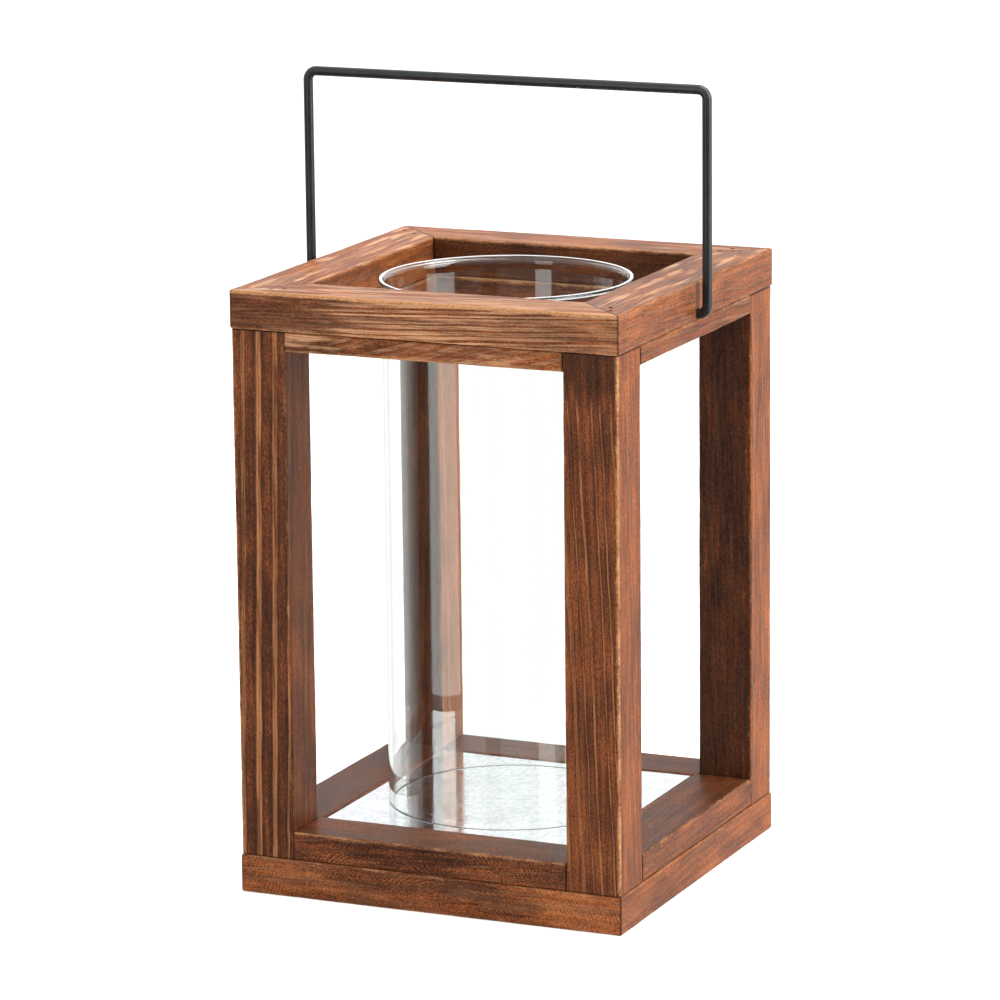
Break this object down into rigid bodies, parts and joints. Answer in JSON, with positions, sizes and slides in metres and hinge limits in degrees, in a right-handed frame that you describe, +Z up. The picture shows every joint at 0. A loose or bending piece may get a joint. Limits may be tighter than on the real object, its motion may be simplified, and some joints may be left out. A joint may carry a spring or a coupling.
{
  "type": "hanging lantern",
  "caption": "Square wooden candle lantern: mitred frame on posts, loose open glass cylinder on a metal floor, and a wire bail handle that folds to either side.",
  "frame": {"origin": "centre of the wooden frame's underside, on the surface that the lantern stands on", "axes": "+Z up; +X to the right along the front, parallel to the handle's crossbar; +Y to the back"},
  "size_m": [0.2036, 0.19, 0.3724],
  "materials": {
    "stained_wood": "reddish brown stain, satin, worn edges",
    "panel_board": "raw fibreboard, matt",
    "sheet_metal": "bright galvanised sheet, mottled",
    "clear_glass": "clear, polished",
    "black_wire": "satin black",
    "nail_steel": "dull dark steel"
  },
  "bodies": {
    "frame": {"top_rail_front": "stained_wood", "top_rail_right": "stained_wood", "top_rail_back": "stained_wood", "top_rail_left": "stained_wood", "apron_front": "stained_wood", "apron_right": "stained_wood", "apron_back": "stained_wood", "apron_left": "stained_wood", "post_front_left": "stained_wood", "post_front_right": "stained_wood", "post_back_right": "stained_wood", "post_back_left": "stained_wood", "lower_rail_front": "stained_wood", "lower_rail_right": "stained_wood", "lower_rail_back": "stained_wood", "lower_rail_left": "stained_wood", "base_rail_front": "stained_wood", "base_rail_right": "stained_wood", "base_rail_back": "stained_wood", "base_rail_left": "stained_wood", "base_panel": "panel_board", "metal_plate": "sheet_metal", "top_nails": "nail_steel", "base_nails": "nail_steel"},
    "glass": {"glass_cylinder": "clear_glass"},
    "handle": {"wire_handle": "black_wire"}
  },
  "joints": [
    {"name": "handle_swing", "type": "hinge", "parent": "frame", "child": "handle", "pos_m": [0, 0, 0.2678], "axis": [1, 0, 0], "range_deg": [-108, 108]},
    {"name": "glass_lift", "type": "slide", "parent": "frame", "child": "glass", "axis": [0, 0, 1], "range_m": [0, 0.085]}
  ]
}
